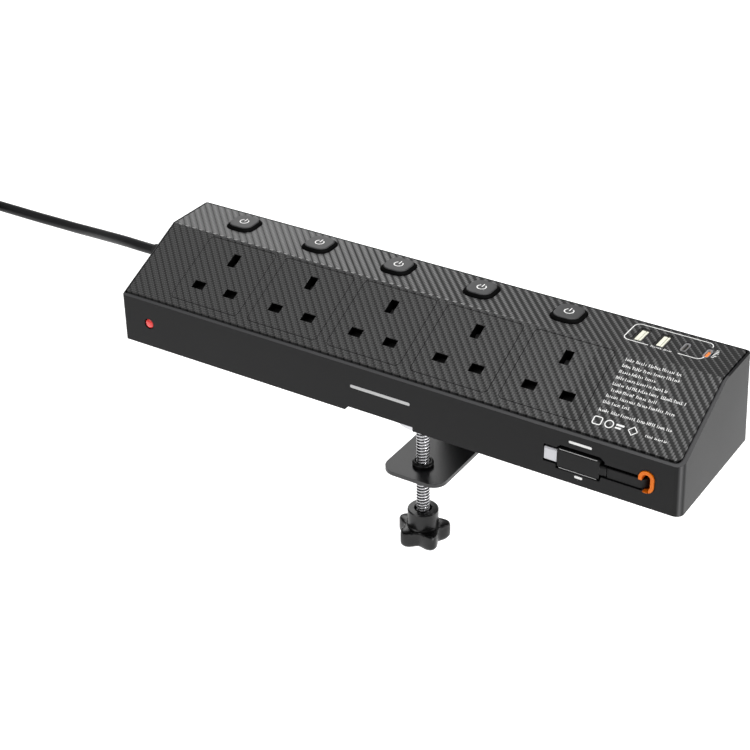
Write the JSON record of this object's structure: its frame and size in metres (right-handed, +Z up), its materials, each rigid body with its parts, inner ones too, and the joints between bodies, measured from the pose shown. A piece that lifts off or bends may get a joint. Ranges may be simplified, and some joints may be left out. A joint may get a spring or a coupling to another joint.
{
  "type": "desk power strip",
  "caption": "Wedge-shaped power strip with a row of switched sockets, USB ports, a pull-out USB lead, a mains lead and a screw clamp for the edge of a desk.",
  "frame": {"origin": "on the desk surface in the clamp's middle plane, under the housing, on the underside of the clamp bracket's upper arm", "axes": "+X along the row of sockets to the USB end, +Y towards the back, +Z up"},
  "size_m": [0.6283, 0.1596, 0.1631],
  "materials": {
    "housing_plastic": "fine satin texture",
    "carbon_weave": "twill weave pattern under a satin clear coat",
    "button_plastic": "satin, with a printed power symbol",
    "inner_plastic": "plain moulded",
    "contact_brass": "bright",
    "port_metal": "bright drawn shell",
    "board": "solder-resist green",
    "lamp_red": "clear tinted",
    "grommet_orange": "satin",
    "lead_plastic": "satin",
    "spring_steel": "oiled",
    "bracket_paint": "gloss black enamel",
    "clamp_steel": "bright zinc or chrome",
    "knob_plastic": "satin",
    "rubber": "matt",
    "cord_pvc": "slightly shiny flexible sheath"
  },
  "bodies": {
    "housing": {"housing_shell": "housing_plastic", "carbon_panel": "carbon_weave", "base_cover": "housing_plastic", "foot_strip_front_left": "rubber", "foot_strip_front_right": "rubber", "foot_strip_rear_left": "rubber", "foot_strip_rear_right": "rubber", "socket_face_1": "carbon_weave", "socket_face_2": "carbon_weave", "socket_face_3": "carbon_weave", "socket_face_4": "carbon_weave", "socket_face_5": "carbon_weave", "live_bar": "contact_brass", "neutral_bar": "contact_brass", "earth_bar": "contact_brass", "switch_body_1": "inner_plastic", "switch_body_2": "inner_plastic", "switch_body_3": "inner_plastic", "switch_body_4": "inner_plastic", "switch_body_5": "inner_plastic", "usb_a_port_1": "port_metal", "usb_a_port_2": "port_metal", "usb_c_port_1": "port_metal", "usb_c_port_2": "port_metal", "usb_board": "board", "lamp_lens": "lamp_red", "lead_grommet": "grommet_orange", "reel_case": "inner_plastic", "reel_spring": "spring_steel", "clamp_bracket": "bracket_paint", "bracket_screw_1": "clamp_steel", "bracket_screw_2": "clamp_steel", "clamp_bush": "knob_plastic", "strain_relief": "housing_plastic", "cord_lead": "cord_pvc", "cord_coil": "cord_pvc", "cord_tail": "cord_pvc", "plug_relief": "cord_pvc", "mains_plug_body": "cord_pvc", "plug_live_pin": "contact_brass", "plug_neutral_pin": "contact_brass", "plug_earth_pin": "contact_brass"},
    "button_1": {"button_1": "button_plastic"},
    "button_2": {"button_2": "button_plastic"},
    "button_3": {"button_3": "button_plastic"},
    "button_4": {"button_4": "button_plastic"},
    "button_5": {"button_5": "button_plastic"},
    "shutter_1": {"shutter_1": "inner_plastic"},
    "shutter_2": {"shutter_2": "inner_plastic"},
    "shutter_3": {"shutter_3": "inner_plastic"},
    "shutter_4": {"shutter_4": "inner_plastic"},
    "shutter_5": {"shutter_5": "inner_plastic"},
    "pad": {"clamp_pad": "clamp_steel", "pad_rubber": "rubber"},
    "screw": {"clamp_screw": "clamp_steel", "clamp_knob": "knob_plastic"},
    "lead": {"lead_plug_shell": "port_metal", "lead_plug_grip": "lead_plastic", "lead_cable": "lead_plastic"},
    "reel": {"reel_drum": "inner_plastic"}
  },
  "joints": [
    {"name": "button_1_press", "type": "slide", "parent": "housing", "child": "button_1", "axis": [0, 0, -1], "range_m": [0, 0.0015], "stiffness_N_per_m": 800, "springref_m": -0.001},
    {"name": "button_2_press", "type": "slide", "parent": "housing", "child": "button_2", "axis": [0, 0, -1], "range_m": [0, 0.0015], "stiffness_N_per_m": 800, "springref_m": -0.001},
    {"name": "button_3_press", "type": "slide", "parent": "housing", "child": "button_3", "axis": [0, 0, -1], "range_m": [0, 0.0015], "stiffness_N_per_m": 800, "springref_m": -0.001},
    {"name": "button_4_press", "type": "slide", "parent": "housing", "child": "button_4", "axis": [0, 0, -1], "range_m": [0, 0.0015], "stiffness_N_per_m": 800, "springref_m": -0.001},
    {"name": "button_5_press", "type": "slide", "parent": "housing", "child": "button_5", "axis": [0, 0, -1], "range_m": [0, 0.0015], "stiffness_N_per_m": 800, "springref_m": -0.001},
    {"name": "shutter_1_slide", "type": "slide", "parent": "housing", "child": "shutter_1", "axis": [0, -0.8998, -0.4364], "range_m": [0, 0.0065], "stiffness_N_per_m": 60, "springref_m": -0.004},
    {"name": "shutter_2_slide", "type": "slide", "parent": "housing", "child": "shutter_2", "axis": [0, -0.8998, -0.4364], "range_m": [0, 0.0065], "stiffness_N_per_m": 60, "springref_m": -0.004},
    {"name": "shutter_3_slide", "type": "slide", "parent": "housing", "child": "shutter_3", "axis": [0, -0.8998, -0.4364], "range_m": [0, 0.0065], "stiffness_N_per_m": 60, "springref_m": -0.004},
    {"name": "shutter_4_slide", "type": "slide", "parent": "housing", "child": "shutter_4", "axis": [0, -0.8998, -0.4364], "range_m": [0, 0.0065], "stiffness_N_per_m": 60, "springref_m": -0.004},
    {"name": "shutter_5_slide", "type": "slide", "parent": "housing", "child": "shutter_5", "axis": [0, -0.8998, -0.4364], "range_m": [0, 0.0065], "stiffness_N_per_m": 60, "springref_m": -0.004},
    {"name": "pad_slide", "type": "slide", "parent": "housing", "child": "pad", "axis": [0, 0, 1], "range_m": [-0.028, 0.0165]},
    {"name": "knob_turn", "type": "hinge", "parent": "pad", "child": "screw", "pos_m": [0, 0.0039, -0.0955], "axis": [0, 0, 1], "range_deg": [-5041, 2971]},
    {"name": "lead_pull", "type": "slide", "parent": "housing", "child": "lead", "axis": [0, -1, 0], "range_m": [0, 0.025], "stiffness_N_per_m": 20, "springref_m": -0.03},
    {"name": "reel_turn", "type": "hinge", "parent": "housing", "child": "reel", "pos_m": [0.1423, 0.0085, 0.0138], "axis": [0, 0, 1], "range_deg": [-96, 0]}
  ],
  "couplings": [
    {"joint": "knob_turn", "follows": "pad_slide", "rad_per_m": 3141.6},
    {"joint": "reel_turn", "follows": "lead_pull", "rad_per_m": -66.667}
  ]
}
